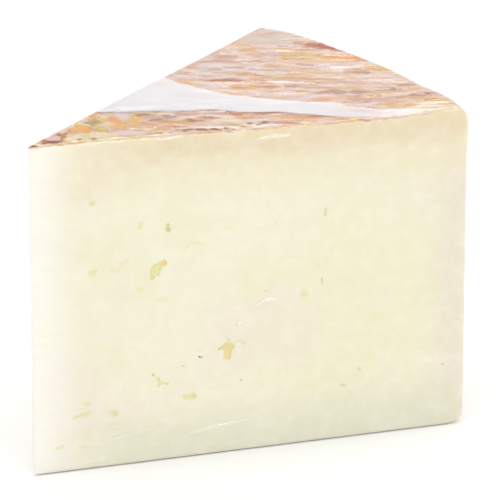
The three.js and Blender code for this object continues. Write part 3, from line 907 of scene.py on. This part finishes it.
# Patches of the top rind: plan x, y and half sizes in mm (the first along the film's pull), colour, strength
PATCHES = [
    (15.0, 7.0, 12.0, 5.0, (222, 186, 104), 0.75), (5.5, 2.6, 5.0, 2.2, (222, 184, 110), 0.8),
    (19.1, 16.6, 1.9, 1.6, (222, 158, 90), 0.9), (22.6, 12.8, 1.3, 2.6, (226, 152, 78), 0.8), (23.4, 10.2, 1.3, 2.4, (222, 160, 82), 0.8),
    (18.1, 12.3, 1.7, 1.5, (158, 138, 92), 0.8), (21.6, 16.4, 2.0, 1.4, (230, 208, 192), 0.8), (20.2, 10.4, 2.0, 1.6, (230, 206, 180), 0.6),
    (26.3, 15.6, 2.0, 2.6, (224, 202, 204), 0.85), (27.4, 10.5, 1.8, 1.8, (224, 200, 196), 0.7), (28.3, 13.0, 1.5, 4.6, (224, 184, 100), 0.85),
    (24.0, 7.8, 3.4, 0.9, (228, 168, 86), 0.8), (31.5, 6.6, 4.5, 0.9, (222, 156, 76), 0.85), (24.0, 3.9, 3.6, 1.3, (224, 204, 206), 0.85),
    (30.4, 14.8, 1.8, 0.9, (160, 116, 92), 0.8), (36.0, 12.2, 2.2, 1.0, (138, 90, 72), 0.8), (33.1, 9.7, 2.4, 1.0, (140, 92, 92), 0.8),
    (35.0, 15.4, 4.2, 0.9, (232, 206, 178), 0.8), (37.5, 17.2, 4.2, 1.2, (212, 184, 182), 0.7), (40.5, 12.8, 3.0, 0.9, (196, 130, 104), 0.7),
    (37.3, 7.9, 6.0, 1.1, (216, 170, 88), 0.8), (41.0, 8.2, 2.4, 0.8, (138, 92, 74), 0.8), (44.5, 9.6, 2.6, 0.7, (164, 110, 80), 0.7),
    (47.2, 15.0, 4.0, 1.5, (204, 188, 184), 0.85), (53.8, 10.4, 5.0, 1.2, (206, 138, 78), 0.85), (51.0, 13.4, 5.0, 0.5, (140, 100, 92), 0.6),
    (44.5, 5.4, 5.0, 0.9, (214, 204, 202), 0.6), (58.5, 7.0, 4.5, 1.0, (216, 180, 172), 0.7), (65.0, 5.4, 6.0, 1.1, (222, 166, 88), 0.85),
    (72.0, 4.2, 5.0, 0.7, (206, 128, 92), 0.7), (62.0, 8.9, 6.0, 0.6, (196, 120, 96), 0.6), (54.5, 4.6, 3.4, 0.9, (214, 206, 184), 0.8),
    (35.6, 3.6, 9.0, 0.6, (212, 158, 76), 0.85), (49.0, 3.6, 3.0, 0.8, (196, 168, 84), 0.7), (60.0, 2.4, 5.0, 0.7, (206, 140, 110), 0.75),
    (85.2, 51.6, 4.6, 1.7, (178, 88, 56), 0.9), (89.2, 48.4, 3.4, 1.5, (184, 92, 68), 0.9), (78.8, 47.0, 5.4, 1.4, (220, 180, 104), 0.85),
    (88.6, 42.6, 6.0, 1.7, (226, 154, 78), 0.9), (93.2, 41.0, 2.6, 1.7, (222, 138, 82), 0.8), (95.0, 33.0, 4.2, 1.5, (224, 182, 104), 0.85),
    (80.5, 41.5, 6.0, 1.0, (232, 196, 150), 0.7), (56.8, 32.9, 5.5, 1.0, (176, 112, 78), 0.85), (62.7, 30.7, 4.4, 1.1, (190, 126, 90), 0.85),
    (59.5, 27.8, 3.8, 1.0, (222, 158, 84), 0.85), (64.2, 26.8, 2.4, 1.0, (216, 138, 84), 0.85), (55.8, 41.5, 1.8, 0.9, (166, 96, 58), 0.85),
    (59.0, 38.0, 5.0, 0.7, (206, 144, 90), 0.8), (66.5, 38.5, 4.0, 0.7, (200, 132, 92), 0.75), (47.4, 41.0, 1.9, 1.4, (212, 170, 104), 0.8),
    (60.0, 41.6, 2.4, 0.7, (160, 108, 80), 0.75), (57.0, 46.8, 5.0, 0.5, (150, 132, 128), 0.6), (66.0, 45.5, 3.0, 0.6, (168, 128, 112), 0.6),
    (99.5, 5.6, 3.0, 0.9, (222, 184, 106), 0.8), (92.5, 11.5, 6.0, 0.8, (206, 146, 84), 0.75), (84.0, 14.5, 6.0, 0.8, (214, 158, 84), 0.75),
    (89.0, 7.6, 5.0, 0.8, (222, 172, 96), 0.75), (94.0, 18.0, 4.0, 1.2, (214, 180, 160), 0.7), (78.0, 22.8, 7.0, 0.8, (216, 176, 104), 0.7),
    (86.0, 24.5, 8.0, 0.9, (224, 192, 168), 0.7), (72.0, 31.0, 8.0, 0.8, (214, 160, 110), 0.6), (80.0, 33.5, 8.0, 0.8, (226, 184, 140), 0.6),
]
SPECKS = [(0.7, 0.4, 0.7), (3.6, 1.4, 0.55), (6.1, 1.9, 0.7), (4.9, 2.4, 0.5), (11.9, 2.0, 0.35), (15.3, 1.7, 0.5), (35.5, 2.9, 0.5), (37.0, 1.9, 0.55),
          (38.4, 2.7, 0.6), (40.2, 2.2, 0.6), (41.4, 1.4, 0.5), (43.6, 1.9, 0.6), (44.4, 1.0, 0.5), (46.5, 1.6, 0.6), (47.9, 0.9, 0.5), (52.7, 3.4, 0.6),
          (54.6, 2.6, 0.5), (56.0, 3.4, 0.5), (50.6, 2.3, 0.4), (92.0, 18.6, 0.35), (93.6, 18.1, 0.35), (33.4, 1.2, 0.35), (31.2, 1.9, 0.35)]


def spots_along(p, stretch, seed):
    return fbm(np.c_[p[:, 0] / stretch, p[:, 1], p[:, 2]], 3.2, 3, seed)


def rind_tone(p, kind):
    """The rind's colour, before its fine grain, with a painted sheen on the rim's shoulder by the front cut; and how
    far it is scraped to the paste, that painted sheen included.
    """
    xy = p[:, :2]
    warp = np.c_[fbm(p, 3.0, 2, 131), fbm(p, 3.0, 2, 137)]
    xw = xy + 0.9 * warp
    top = (kind == 1) | (kind == 2)
    ang = np.arctan2(xy[:, 1] - RC[1], xy[:, 0] - RC[0])
    on_top = np.where(top, 1.0, np.where(kind == 5, 0.0, smooth(MID_H - 14, MID_H - 5, p[:, 2])))
    lain = np.c_[xy @ U_DIR, xy @ V_DIR, 0.5 * p[:, 2]]
    wall = np.c_[ang * RIM_R, p[:, 2] / 1.25, np.full(len(p), 3.0)]
    wall[kind == 5] = np.c_[xy, np.full(len(xy), 40.0)][kind == 5]

    def tones(q, stretch):
        n1, n2, n3, n4 = (spots_along(q, stretch, sd) for sd in (3, 9, 15, 23))
        big = fbm(q, 17, 2, 29)
        col = np.tile(np.array(lin(217, 184, 164)), (len(q), 1))
        col = blend(col, lin(214, 168, 98), 0.75 * smooth(0.10, 0.5, n1 + 0.35 * big))
        col = blend(col, lin(190, 124, 88), 0.70 * smooth(0.18, 0.5, n2 - 0.25 * big))
        col = blend(col, lin(228, 208, 196), 0.75 * smooth(0.12, 0.45, n3))
        col = blend(col, lin(160, 138, 122), 0.40 * smooth(0.32, 0.55, n4))
        return col

    soft = np.array(lin(214, 181, 154))
    side_col = tones(wall / 1.7, 1.0) * 0.55 + tones(wall, 1.0) * 0.15 + 0.30 * soft
    side_col = blend(side_col, lin(200, 150, 104), 0.45 * smooth(0.05, 0.5, fbm(wall, 30, 2, 301)))
    side_col = blend(side_col, lin(224, 204, 186), 0.35 * smooth(0.05, 0.5, fbm(wall, 24, 2, 311)))
    col = tones(lain, 2.6) * on_top[:, None] + side_col * (1 - on_top)[:, None]
    col = np.where((kind == 5)[:, None], col * 0.5 + 0.5 * np.array(lin(212, 180, 146)), col)
    w = on_top
    corner = smooth(0.35, 0.8, spot(xw, 75, 61, 10, 9))
    col = blend(col, lin(214, 197, 185), w * corner)
    col = blend(col, lin(206, 164, 92), w * 0.8 * spot(xy, 73.2, 61.2, 3.0, 0.45, 2.2))
    own = 0.9 * w * corner
    level = smooth(MID_H - 6.5, MID_H - 2.5, p[:, 2])      # patches stay off the rim's wall
    for x, y, rx, ry, rgb, a in PATCHES:
        m = w * level * a * smooth(0.22, 0.62, spot(xw, x, y, rx * 1.15, ry * 1.25, math.atan2(U_DIR[1], U_DIR[0])))
        col = blend(col, lin(*rgb), m)
        if rx < 12:
            own = np.maximum(own, 0.95 * smooth(0.1, 0.5, m))
    # at the tip: a pink patch with a brown outline
    m = np.sqrt(((xw[:, 0] - 6.0) / 3.1) ** 2 + ((xw[:, 1] - 4.6) / 2.5) ** 2)
    col = blend(col, lin(160, 100, 68), w * 0.95 * smooth(1.45, 1.05, m))
    col = blend(col, lin(222, 190, 182), w * 0.95 * smooth(0.92, 0.68, m))
    own = np.maximum(own, w * smooth(1.5, 1.2, m))
    # scraped to the paste along the front edge by the tip
    scraped_and_sheen = w * np.maximum.reduce([0.85 * smooth(0.30, 0.55, spot(xw, 15.2, 2.6, 6.4, 4.2, -0.15)), smooth(0.3, 0.6, spot(xw, 26.5, 0.2, 9, 1.0)) * 0.6,
                                 smooth(0.35, 0.6, spot(xw, 12.6, 7.4, 2.4, 3.2)) * 0.25, smooth(0.3, 0.6, spot(xw, 98, 0.6, 12, 2.6)) * 0.85])
    # painted sheen: the rim's shoulder by the front cut is painted pale yellow, in the same colour as the scraped
    # places
    shoulder_sheen = smooth(3.4, 0.6, RIM_R - np.hypot(xy[:, 0] - RC[0], xy[:, 1] - RC[1])) * smooth(24, 8, xy[:, 1] * 1.2) * smooth(MID_H - 12, MID_H - 6, p[:, 2])
    scraped_and_sheen = np.maximum(scraped_and_sheen, 0.8 * shoulder_sheen)
    col = blend(col, lin(233, 217, 176), scraped_and_sheen)
    rim_cut = (1 - on_top) * smooth(1.6, 0.2, edge_clear(p, 0.4))
    col = blend(col, lin(234, 222, 200), 0.7 * rim_cut)
    for x, y, r in SPECKS:
        m = w * smooth(0.25, 0.60, spot(xy + 0.45 * warp, x, y, r * 1.5, r * 1.6))
        col = blend(col, lin(134, 80, 54), 0.95 * m)
        own = np.maximum(own, m)
    col = np.clip(np.where((on_top > 0.5)[:, None] & (scraped_and_sheen < 0.5)[:, None], (col - 0.060) / 0.875, col), 0.012, 0.95)
    return col, scraped_and_sheen, own


def paste_tone(p, kind):
    """The paste: paler at the tip as a painted glow, warmer under the rind, greyer near the base and darker towards the
    heel, both partly painted shade, and pinker at the rim.
    """
    s = np.where(kind == 8, p[:, :2] @ AB, p[:, 0])
    col = np.tile(np.array(lin(244, 240, 215)), (len(p), 1))
    # partly painted shade: the paste darkens towards the heel end of the cut face, partly its own tone and partly light
    # falling off
    col = blend(col, lin(240, 236, 208), 0.8 * smooth(38, 92, s))
    mott = fbm(p, 19, 3, 201)
    col = blend(col, lin(238, 235, 196), 0.50 * smooth(0.02, 0.4, mott))
    col = blend(col, lin(243, 233, 216), 0.60 * smooth(0.0, -0.4, fbm(p, 15, 3, 211)))
    col = blend(col, lin(231, 219, 205), 0.65 * smooth(92, 104, s + 2 * mott))
    # greyer towards the base: partly the paste's own tone by the base rind, partly painted shade
    low = smooth(17, 2, p[:, 2] - 3 * mott)
    col = blend(col, lin(224, 224, 201), 0.75 * low * smooth(2, 45, s + 10))
    gap = top_height(p[:, 0], p[:, 1]) - p[:, 2] + 1.6 * fbm(np.c_[p[:, 0] / 4 + p[:, 1] / 4, p[:, 1], p[:, 2] - 0.03 * p[:, 0]], 2.4, 3, 221)
    col = blend(col, lin(241, 229, 194), 0.55 * smooth(18, 9, gap))
    col = blend(col, lin(231, 213, 176), 0.75 * smooth(9.5, 2.5, gap) * smooth(10, 30, s))
    # painted glow: the paste is painted near-white towards the thin tip, in place of light shining through it
    col = blend(col, lin(251, 249, 242), smooth(13, 0.5, s) * 0.9)
    return col * np.array([0.95, 0.945, 0.935])


def rind_relief(p, kind):
    big = fbm(p, 16, 2, 71)
    mid = fbm(p, 3.4, 3, 73)
    pits = smooth(0.28, 0.55, fbm(p, 2.0, 2, 77))
    return -0.12 + 0.10 * big + 0.10 * mid - 0.22 * pits


def edge_clear(p, grow):
    """Distance from the nearest cut plane of the grown solid, in mm."""
    front = p[:, 1] + grow
    back = grow - (p[:, :2] @ NB)
    return np.minimum(front, back)


paste, rind, film_mat = paste_material(), rind_material(), film_material()
G_CHEESE, G_FILM = 0.40, 0.55
pos, nrm, kind, rows, ids, ts, body, sides = build(
    G_CHEESE, 0.66, lambda k, reach: {"top": 0.52, "tsh": 0.52, "rim": 0.8, "bsh": 0.8, "bot": 1.0}[k], 7, 0.8, cheese_cut_points)
shift = np.zeros(len(pos))
on_body = kind <= 5
fade = smooth(0.2, 1.8, edge_clear(pos, G_CHEESE))
shift[on_body] = (rind_relief(pos, kind) * fade)[on_body]
shift[kind == 5] *= 0.4
fields = {n: np.zeros(len(pos)) for n in ("green", "orange", "dark")}
edge = np.zeros(len(pos))
edge_top = np.zeros(len(pos))
for side in (0, 1):
    m = kind == 7 + side
    along = np.array([1.0, 0.0]) if side == 0 else AB
    base = np.array([0.0, -G_CHEESE]) if side == 0 else NB * G_CHEESE
    s = (pos[m][:, :2] - base) @ along
    pl = np.c_[s, pos[m][:, 2]]
    d, g, o, k, _ = eye_fields(pl + EYE_SHIFT, EYES[side])
    top_gap = top_height(pos[m][:, 0], pos[m][:, 1]) + G_CHEESE - pos[m][:, 2]
    rim_gap = (CUT + G_CHEESE) - s
    gap = np.minimum(np.minimum(top_gap, rim_gap), pos[m][:, 2] + G_CHEESE)
    relief = 0.05 * fbm(pos[m], 7, 3, 91 + side) + 0.018 * fbm(pos[m], 1.3, 2, 95 + side, (5, 5, 1))
    shift[m] = -0.36 * d + relief * smooth(0.3, 2.0, np.minimum(gap, s + 1.0)) - 0.02
    fields["green"][m], fields["orange"][m], fields["dark"][m] = g, o, k
    edge[m] = gap
    edge_top[m] = smooth(1.5, 0.3, top_gap - gap) * 1.0
edge[kind == 6] = 1.0
tip_gap = top_height(pos[:, 0], pos[:, 1]) + G_CHEESE - pos[:, 2]
edge[kind == 6] = np.minimum(tip_gap, pos[:, 2] + G_CHEESE)[kind == 6]
edge_top[kind == 6] = (tip_gap < 20)[kind == 6] * 1.0
edge_top[on_body] = ((kind == 1) | (kind == 2))[on_body] * 1.0
rind_col, scraped_and_sheen, own = rind_tone(pos, kind)
near_raw = spot(pos[:, :2], 24, 0, 17, 3)
edge_top = edge_top * (1 - 0.75 * smooth(0.3, 0.7, near_raw)) * smooth(103, 88, pos[:, 0] + 0.0 * pos[:, 1])
tone = np.where(on_body[:, None], rind_col, paste_tone(pos, kind))
lies = np.where((kind == 1) | (kind == 2), 1.0, np.where(kind == 3, smooth(MID_H - 14, MID_H - 5, pos[:, 2]), 0.0))
tipward = smooth(40, 20, pos[:, :2] @ U_DIR)
attrs = dict(fields, side=(kind <= 4) * 1.0, own=np.where(on_body, own, 0.0), tipward=tipward, edge=edge, edge_top=edge_top, tone=tone, lies=lies, scraped_and_sheen=np.where(on_body, scraped_and_sheen, 0.0))
cheese_pos = swell(pos + nrm * shift[:, None])
faces = sides[0] + sides[1] + body
mats = [0] * (len(sides[0]) + len(sides[1])) + [1] * len(body)
cheese = mesh_from("cheese_wedge_fine", cheese_pos, faces, attrs, [paste, rind], mats)
print("cheese", len(pos), len(faces))


# ---------------------------------------------------------------- the film
def ridge(q, a, b, width, amp, bow=0.0):
    """A crease from a to b with soft ends, as height at plan points q."""
    a, b = np.array(a, float), np.array(b, float)
    ab = b - a
    ln = math.hypot(*ab)
    d = ab / ln
    n = np.array([-d[1], d[0]])
    x = (q - a) @ d / ln
    y = (q - a) @ n - bow * 4 * np.clip(x, 0, 1) * (1 - np.clip(x, 0, 1))
    e = np.clip(x, 0, 1) * np.clip(1 - x, 0, 1) * 4
    e = np.where((x > 0) & (x < 1), np.sqrt(np.clip(e, 0, 1)), 0)
    return amp * e * np.exp(-(np.sqrt(y * y + (0.35 * width) ** 2) - 0.35 * width) / width)


BAND_NEAR = np.array([(10, 23.2), (17.2, 23.4), (24.1, 24.4), (40.6, 26.0), (46.6, 25.4), (55.9, 25.6), (62.8, 25.0), (66.7, 24.2), (72.8, 23.4), (82.1, 24.0), (92, 25.5), (104, 26.0)])
BAND_FAR = np.array([(10, 28), (17, 30), (24, 42), (29.2, 48.4), (30.1, 46.0), (35.8, 41.9), (40.5, 38.6), (46.6, 35.9), (55.2, 34.2), (62.8, 33.0), (68.4, 33.0), (73.0, 30.9), (78.9, 29.4), (84.0, 29.0), (96.7, 28.5), (104, 28.2)])


def film_top(p):
    """Height of the film above its rest over the top rind, and how far the taut facet reaches."""
    uv = np.c_[p[:, :2] @ U_DIR, p[:, :2] @ V_DIR]
    uv3 = np.c_[uv, 0 * uv[:, 0]]
    rng = np.random.RandomState(4)
    h = np.zeros(len(p))
    wob = 0.8 * fbm(uv3, 7, 3, 3) + 0.35 * fbm(uv3, 1.6, 2, 5, (2.5, 1, 1))
    near = np.interp(uv[:, 0], BAND_NEAR[:, 0], BAND_NEAR[:, 1]) + 0.8 * wob
    far = np.interp(uv[:, 0], BAND_FAR[:, 0], BAND_FAR[:, 1]) + wob
    inside = smooth(-0.3, 0.7, uv[:, 1] - near) * smooth(-0.3, 0.9, far - uv[:, 1])
    taut = 1 - 0.95 * inside
    calm = 1 - 0.7 * smooth(0.2, 0.7, spot(p[:, :2], 75, 61, 9, 8)) - 0.55 * spot(p[:, :2], 12, 6, 16, 10)
    for i in range(190):
        u, v = rng.uniform(4, 104), rng.uniform(2, 80)
        ln = 5 + 24 * rng.rand() ** 1.6
        ang = 0.09 * rng.randn() + 0.0035 * (38 - v)
        wd = 0.35 + 0.55 * rng.rand()
        am = wd * (0.03 + 0.10 * rng.rand() ** 2.0)
        if rng.rand() < 0.10:
            wd, am, ln = 0.26, 0.10, ln * 0.5
        a = (u - ln / 2 * math.cos(ang), v - ln / 2 * math.sin(ang))
        b = (u + ln / 2 * math.cos(ang), v + ln / 2 * math.sin(ang))
        h += ridge(uv, a, b, wd, am, rng.uniform(-0.03, 0.03) * ln)
    fine = fbm(uv3, 1.0, 3, 12, (10, 0.9, 1))
    h += 0.022 * np.clip(fine + 0.2, 0, 1)
    h *= taut * np.clip(calm, 0.1, 1)
    for (x0, y0), (x1, y1), wd, am in (((25.0, 6.4), (30.6, 5.2), 0.5, 0.30), ((44.6, 17.0), (48.6, 16.6), 0.4, 0.16), ((43.5, 13.8), (50.5, 12.6), 0.4, 0.16),
                                       ((82.0, 36.6), (86.5, 35.2), 0.35, 0.2), ((26.0, 20.4), (34.0, 18.6), 0.5, 0.14), ((93.0, 17.6), (96.5, 16.0), 0.3, 0.14)):
        q0, q1 = np.array([x0, y0]), np.array([x1, y1])
        h += ridge(uv, (q0 @ U_DIR, q0 @ V_DIR), (q1 @ U_DIR, q1 @ V_DIR), wd, am)
    tilt = math.tan(math.radians(1.9))
    lift = np.clip(uv[:, 1] - near, 0, None) * tilt
    over = np.clip(uv[:, 1] - far, 0, None)
    lift = np.where(uv[:, 1] < far, lift, np.clip((far - near) * tilt - over * 0.16, 0, None))
    h += lift
    return h, inside, uv3


FRONT_RIDGES = [
    ((31.7, 5.5), (55.4, 8.7), 0.34, 0.30, -0.25), ((13.7, 6.2), (30.6, 9.2), 0.36, 0.26, 0.1), ((29.0, 9.0), (35.6, 10.2), 0.30, 0.16, 0.0),
    ((13.0, 2.1), (17.6, 3.2), 0.34, 0.30, 0.0), ((41.0, 11.1), (53.6, 13.7), 0.34, 0.16, 0.0), ((53.0, 36.4), (58.4, 37.7), 0.30, 0.28, 0.1),
    ((52.7, 32.5), (58.4, 32.5), 0.30, 0.18, 0.0), ((48.3, 32.1), (50.7, 32.6), 0.28, 0.26, 0.0), ((52.8, 77.4), (63.2, 77.3), 0.34, 0.28, 0.15),
    ((29.8, 79.7), (35.4, 80.0), 0.34, 0.26, 0.1), ((60.5, 9.2), (66.5, 9.9), 0.30, 0.16, 0.0), ((71.0, 37.2), (82.0, 37.8), 0.30, 0.08, 0.2),
    ((66.0, 64.5), (74.0, 65.0), 0.30, 0.10, 0.1), ((20.0, 28.2), (26.0, 29.8), 0.30, 0.08, 0.1), ((27.0, 77.0), (43.5, 76.5), 0.5, 0.07, 0.0), ((43.0, 76.3), (93.0, 75.6), 0.55, 0.08, 0.3),
    ((40.0, 73.2), (80.0, 73.6), 0.6, 0.06, 0.4), ((8.0, 11.2), (24.0, 12.8), 0.5, 0.05, 0.2), ((60.0, 74.8), (100.0, 73.0), 0.6, 0.07, -0.3),
    ((60.0, 15.0), (95.0, 19.0), 0.7, 0.05, 0.6), ((20.0, 2.0), (60.0, 3.6), 0.5, 0.06, 0.3), ((58.0, 5.2), (90.0, 8.8), 0.45, 0.05, -0.3),
]


def back_ridges():
    rng = np.random.RandomState(21)
    out = []
    for _ in range(34):
        s, z, ln = rng.uniform(8, 96), rng.uniform(4, 76), rng.uniform(5, 30)
        a = rng.uniform(-0.25, 0.1)
        out.append(((s - ln / 2, z - a * ln / 2), (s + ln / 2, z + a * ln / 2), rng.uniform(0.22, 0.5), rng.uniform(0.05, 0.24), rng.uniform(-0.4, 0.4)))
    return out


FILM_RIDGES = [FRONT_RIDGES, back_ridges()]


def film_cut_points(side):
    g = jitter_grid(-1.5, CUT + 1, -0.5, 82, 1.7, 51 + side)
    fine = [g]
    dist = np.full(len(g), 9.0)
    for a, b, w, am, bow in FILM_RIDGES[side]:
        a, b = np.array(a), np.array(b)
        ln = math.hypot(*(b - a))
        d = (b - a) / ln
        n = np.array([-d[1], d[0]])
        x = (g - a) @ d
        y = (g - a) @ n
        near = (x > -1) & (x < ln + 1) & (np.abs(y) < 1.6)
        dist[near] = 0
        xs = np.arange(-0.3, ln + 0.3, 0.7)
        t = np.clip(xs / ln, 0, 1)
        for k, off in enumerate((-1.2, -0.62, -0.36, -0.2, -0.08, 0.08, 0.2, 0.36, 0.62, 1.2)):
            o = off * w / 0.26
            q = a + np.outer(xs + (0.35 if k % 2 else 0), d) + np.outer(o + bow * 4 * t * (1 - t), n)
            fine.append(q)
    fine[0] = g[dist > 1]
    allp = np.concatenate(fine)
    key = np.round(allp / 0.07).astype(np.int64)
    _, first = np.unique(key[:, 0] * 100000 + key[:, 1], return_index=True)
    return inside_face(allp[np.sort(first)] - EYE_SHIFT, G_FILM)


fpos, fnrm, fkind, frows, fids, fts, fbody, fsides = build(
    G_FILM, 1.0, lambda k, reach: {"top": 0.34, "tsh": 0.42, "rim": 0.6, "bsh": 0.7, "bot": 1.0}[k], 6, 1.2, film_cut_points)
h = np.zeros(len(fpos))
milk_and_glare = np.full(len(fpos), 0.02)
ftop = (fkind == 1) | (fkind == 2)
clear_edge = edge_clear(fpos, G_FILM)
top_h, top_in, top_uv = film_top(fpos[ftop])
# painted highlights: the mask of where thin pale lines are painted along the film's wrinkles on the top
crease = np.zeros(len(fpos))
crease[ftop] = (1 - top_in) * smooth(0.2, 2.5, clear_edge[ftop]) * smooth(14, 44, fpos[ftop][:, :2] @ U_DIR + 0.5 * (fpos[ftop][:, :2] @ V_DIR))
ef = smooth(0.0, 2.0, clear_edge[ftop])
h[ftop] = top_h * (0.25 + 0.75 * ef)
haze = smooth(0.1, 0.5, fbm(top_uv, 4.0, 3, 44, (3.5, 1, 1)))
# painted sheen: a soft whitish patch over the back left of the top, painted into the film's milkiness
left = spot(fpos[ftop][:, :2], 50, 44, 14, 9)
# painted glare: inside the taut band across the top, the film is painted milky white as a painted reflection, on top of
# the real glare its tilt catches; the small base value and the haze are the film's own milkiness
milk_and_glare[ftop] = (0.06 * haze + 0.20 * left * (0.3 + 0.7 * haze)
              + top_in * (0.58 + 0.05 * fbm(top_uv, 9, 2, 46)) * smooth(108, 62, fpos[ftop][:, 0]))
for side in (0, 1):
    m = fkind == 7 + side
    along = np.array([1.0, 0.0]) if side == 0 else AB
    base = np.array([0.0, -G_FILM]) if side == 0 else NB * G_FILM
    q = np.c_[(fpos[m][:, :2] - base) @ along, fpos[m][:, 2]]
    shown = q + EYE_SHIFT
    hh = 0.10 * (fbm(np.c_[q, 0 * q[:, 0]], 26, 2, 61 + side, (1.5, 1, 1)) + 0.5)
    for a, b, w, am, bow in FILM_RIDGES[side]:
        hh += ridge(shown, a, b, w, am, bow)
        if am >= 0.2 and side == 0:                    # painted highlight: a thin white line is painted along each sharp crease
            milk_and_glare[m] = np.maximum(milk_and_glare[m], ridge(shown, a, b, 0.08, 0.75, bow))
    top_gap = top_height(fpos[m][:, 0], fpos[m][:, 1]) + G_FILM - fpos[m][:, 2]
    near_edge = np.minimum(np.minimum(q[:, 0] + 0.8, CUT + G_FILM - q[:, 0]), np.minimum(top_gap, q[:, 1] + G_FILM))
    h[m] = hh * smooth(0.0, 1.5, near_edge)
# rim: the film's gathers run down and fan in towards the underside
m = (fkind == 3) | (fkind == 4) | (fkind == 2)
ang = np.arctan2(fpos[:, 1] - RC[1], fpos[:, 0] - RC[0])
uq = np.c_[(ang - ang[fkind == 3].min()) * RIM_R, fpos[:, 2]]
rng = np.random.RandomState(8)
hr = np.zeros(len(fpos))
for _ in range(90):
    u, z, ln = rng.uniform(2, 78), rng.uniform(2, 74), rng.uniform(8, 40)
    lean = (u - 40) / 40 * 0.9 * (1 - z / 90) + 0.12 * rng.randn()
    d = np.array([-math.sin(lean), -math.cos(lean)])
    c = np.array([u, z])
    hr += ridge(uq, c - d * ln / 2, c + d * ln / 2, rng.uniform(0.6, 1.1), rng.uniform(0.04, 0.26), rng.uniform(-1, 1))
for _ in range(70):
    u, z, ln = rng.uniform(2, 78), rng.uniform(6, 72), rng.uniform(6, 34)
    lean = rng.choice([-1, 1]) * rng.uniform(0.15, 0.9)
    d = np.array([math.cos(lean), math.sin(lean)])
    c = np.array([u, z])
    hr += ridge(uq, c - d * ln / 2, c + d * ln / 2, rng.uniform(0.45, 0.8), rng.uniform(0.10, 0.34), rng.uniform(-1.5, 1.5))
h += np.where(m, hr, 0) * smooth(0.0, 3.0, clear_edge) * smooth(76.5, 70, fpos[:, 2])
# underside: flat pleats run in towards the opening
hub = BISECT * CUT * 0.64
m = fkind == 5
rel = fpos[:, :2] - hub
rr, aa = np.hypot(rel[:, 0], rel[:, 1]), np.arctan2(rel[:, 1], rel[:, 0])
pleat = fbm(np.c_[np.cos(aa) * 7, np.sin(aa) * 7, rr / 60], 1.0, 3, 5)
h[m] = (0.07 * np.clip(pleat * 2, -1, 1) * smooth(40, 8, rr) * smooth(0.3, 2.5, clear_edge))[m]
hole_r = 7.0 + 1.6 * np.sin(3 * aa + 0.6) + 2.2 * pleat
open_here = (fkind == 5) & (rr < hole_r)
near_fold = np.exp(-((clear_edge - 0.25) / 0.9) ** 2)
crimp = 0.10 * fbm(fpos, 1.3, 2, 401, (1, 1, 1)) + 0.06 * fbm(fpos, 4.0, 2, 403)
h += np.where(fkind == 5, 0.0, crimp * np.where(fkind >= 7, np.exp(-((top_height(fpos[:, 0], fpos[:, 1]) + G_FILM - fpos[:, 2]) / 0.8) ** 2), near_fold))
fpos2 = swell(fpos + fnrm * h[:, None])
fpos2[:, 2] = np.maximum(fpos2[:, 2], -0.62)      # it lies on the surface
ffaces = [f for f in fsides[0] + fsides[1] + fbody if not (open_here[f[0]] or open_here[f[1]] or open_here[f[2]])]
used = np.unique(np.array(ffaces).ravel())
remap = -np.ones(len(fpos2), int)
remap[used] = np.arange(len(used))
film = mesh_from("film_wrap_fine", fpos2[used], remap[np.array(ffaces)], {"milk_and_glare": milk_and_glare[used], "crease": crease[used]}, [film_mat])
thick = film.modifiers.new("wall", "SOLIDIFY")
thick.thickness = 0.00003
thick.offset = -1.0
thick.use_even_offset = False
bpy.context.view_layer.update()
dg = bpy.context.evaluated_depsgraph_get()
shell = bpy.data.meshes.new_from_object(film.evaluated_get(dg), depsgraph=dg)
film.modifiers.clear()
film.data = shell
print("film", len(used), len(shell.polygons))

for piece, node, slot in ((cheese, "cheese_wedge", "cheese"), (film, "film_wrap", "film")):
    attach(piece, "root")
    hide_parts(node)

# ---------------------------------------------------------------- floor and light
floor_mesh = bpy.data.meshes.new("floor")
floor_mesh.from_pydata([(-4, -4, 0), (4, -4, 0), (4, 4, 0), (-4, 4, 0)], [], [(0, 1, 2, 3)])
floor = bpy.data.objects.new("floor", floor_mesh)
scene.collection.objects.link(floor)
fm = Nodes("floor_white")
fb = fm.n("ShaderNodeBsdfDiffuse")
fb.inputs["Color"].default_value = (0.94, 0.94, 0.94, 1)
fm.link(fb.outputs[0], fm.out.inputs["Surface"])
floor_mesh.materials.append(fm.mat)

world = bpy.data.worlds.new("studio")
scene.world = world
world.use_nodes = True
world.node_tree.nodes["Background"].inputs[0].default_value = (1, 1, 1, 1)
world.node_tree.nodes["Background"].inputs[1].default_value = 0.67


def softbox(name, toward, distance, width, height, radiance, tint=(1, 1, 1)):
    """A soft light in a direction from the object, facing it; radiance is in units of plain white."""
    data = bpy.data.lights.new(name, "AREA")
    data.shape = "RECTANGLE"
    data.size, data.size_y = width, height
    data.energy = radiance * math.pi * width * height
    data.color = tint
    ob = bpy.data.objects.new(name, data)
    scene.collection.objects.link(ob)
    d = Vector(toward).normalized()
    ob.location = Vector((0, 0, 0.05)) + d * distance
    ob.rotation_euler = (-d).to_track_quat("-Z", "Y").to_euler()
    return ob


def direction(azimuth, elevation):
    """Azimuth 0 is straight behind the object as the camera sees it, 180 is the camera's own side; positive turns to the camera's right."""
    a, e = math.radians(azimuth), math.radians(elevation)
    flat = V_DIR * math.cos(a) + U_DIR * math.sin(a)
    return (flat[0] * math.cos(e), flat[1] * math.cos(e), math.sin(e))


softbox("back_card", direction(0, 28.6), 1.6, 1.9, 0.22, 3.5)
softbox("back_strip", direction(4, 43.0), 1.6, 1.5, 0.06, 4.5)
softbox("key", direction(150, 10), 1.5, 0.40, 0.42, 9.5)
softbox("left_fill", direction(-100, 12), 1.5, 0.5, 0.4, 6.0)
softbox("right_fill", direction(62, 12), 1.5, 0.5, 0.4, 7.0)
softbox("back_low", direction(-22, 9), 1.5, 0.5, 0.34, 6.0)
softbox("overhead", direction(150, 76), 1.6, 1.2, 1.2, 1.9)

scene.view_settings.view_transform = "Standard"
scene.cycles.transparent_max_bounces = 24
